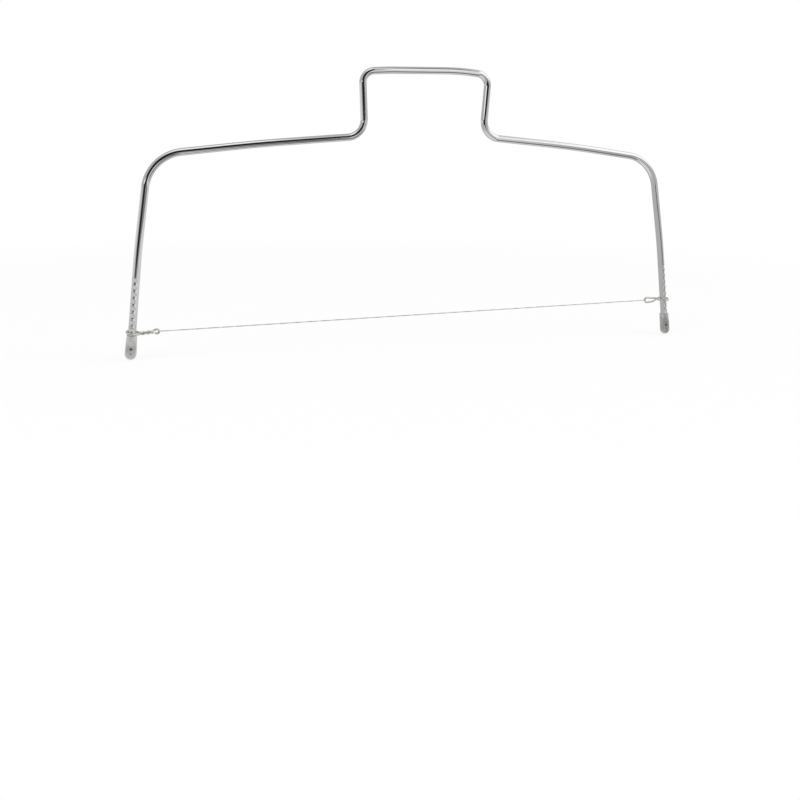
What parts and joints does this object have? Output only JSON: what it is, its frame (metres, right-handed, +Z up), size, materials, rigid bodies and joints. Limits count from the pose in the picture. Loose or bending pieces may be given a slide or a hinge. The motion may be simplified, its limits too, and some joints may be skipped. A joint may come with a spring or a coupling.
{
  "type": "cake leveler",
  "caption": "Wire cake leveler: a bent steel rod bow with a raised hand grip and notched legs, and a fine cutting wire strung between two sliding twisted-wire hooks.",
  "frame": {"origin": "midway between the tips of the two feet, on the table that they stand on", "axes": "+X along the cutting wire from the left leg to the right leg, +Y to the back, +Z up to the hand grip"},
  "size_m": [0.3179, 0.007, 0.1555],
  "materials": {
    "rod_steel": "polished round steel rod, plated bright",
    "cap_steel": "pressed steel cap, plated, duller than the rod",
    "hook_wire": "drawn steel wire, semi-bright, slightly warm grey",
    "cutting_wire": "fine drawn stainless wire"
  },
  "bodies": {
    "frame": {"bow_frame": "rod_steel", "left_foot": "cap_steel", "right_foot": "cap_steel"},
    "left_hook_body": {"left_hook": "hook_wire"},
    "wire_body": {"cutting_wire": "cutting_wire"},
    "right_hook_body": {"right_hook": "hook_wire"}
  },
  "joints": [
    {"name": "left_hook_slide", "type": "slide", "parent": "frame", "child": "left_hook_body", "axis": [0.0698, 0, 0.9976], "range_m": [0, 0.0252]},
    {"name": "wire_tilt", "type": "hinge", "parent": "left_hook_body", "child": "wire_body", "pos_m": [-0.14181, 0, 0.014], "axis": [0, -1, 0], "range_deg": [-0.73, 1.46]},
    {"name": "right_hook_slide", "type": "slide", "parent": "wire_body", "child": "right_hook_body", "axis": [0.9997, 0, 0.0242], "range_m": [-0.00422, 0]}
  ],
  "couplings": [
    {"joint": "right_hook_slide", "follows": "left_hook_slide", "ratio": -0.16722}
  ]
}
